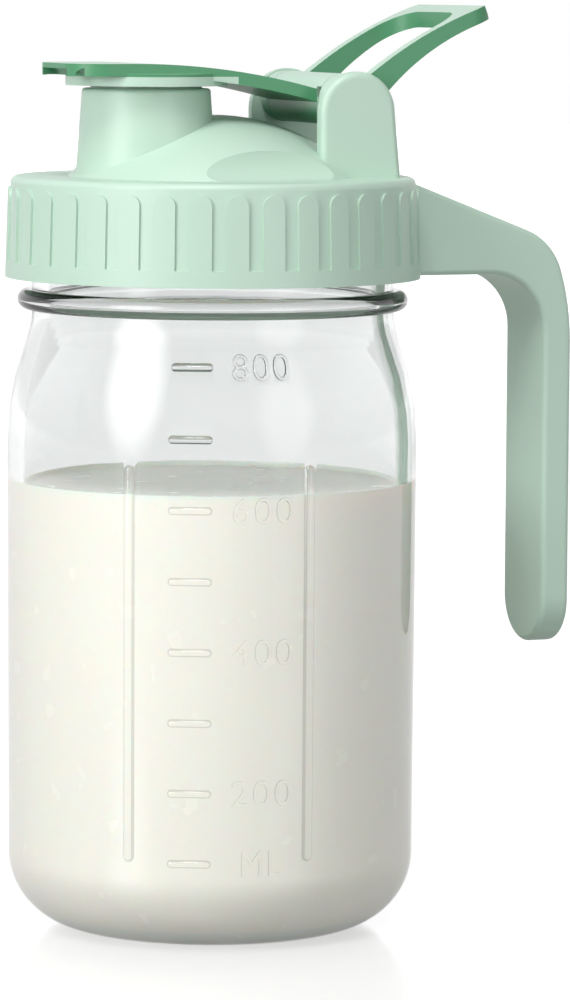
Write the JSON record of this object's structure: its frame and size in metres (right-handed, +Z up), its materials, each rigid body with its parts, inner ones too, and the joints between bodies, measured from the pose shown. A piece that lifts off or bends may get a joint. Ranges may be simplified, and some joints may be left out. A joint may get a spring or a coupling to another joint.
{
  "type": "milk pitcher",
  "caption": "Clear glass jar of milk under a screw-on pouring lid with a side handle, a hinged flip cap over its spout and a hinged carry loop.",
  "frame": {"origin": "on the jar's axis, at the plane it stands on", "axes": "+Z up, +X towards the handle, -X towards the spout, Y along the hinge"},
  "size_m": [0.1377, 0.098, 0.218],
  "materials": {
    "clear_glass": "clear pressed glass with a raised scale",
    "milk": null,
    "mint_plastic": "satin moulded plastic, mint green"
  },
  "bodies": {
    "pitcher": {"glass_jar": "clear_glass", "milk": "milk", "screw_lid": "mint_plastic"},
    "flip_cap": {"flip_cap": "mint_plastic"},
    "carry_loop": {"carry_loop": "mint_plastic"}
  },
  "joints": [
    {"name": "cap_hinge", "type": "hinge", "parent": "pitcher", "child": "flip_cap", "pos_m": [0.0262, 0, 0.196], "axis": [0, 1, 0], "range_deg": [0, 125]},
    {"name": "loop_hinge", "type": "hinge", "parent": "pitcher", "child": "carry_loop", "pos_m": [0.0262, 0, 0.196], "axis": [0, 1, 0], "range_deg": [-125, 60]}
  ]
}
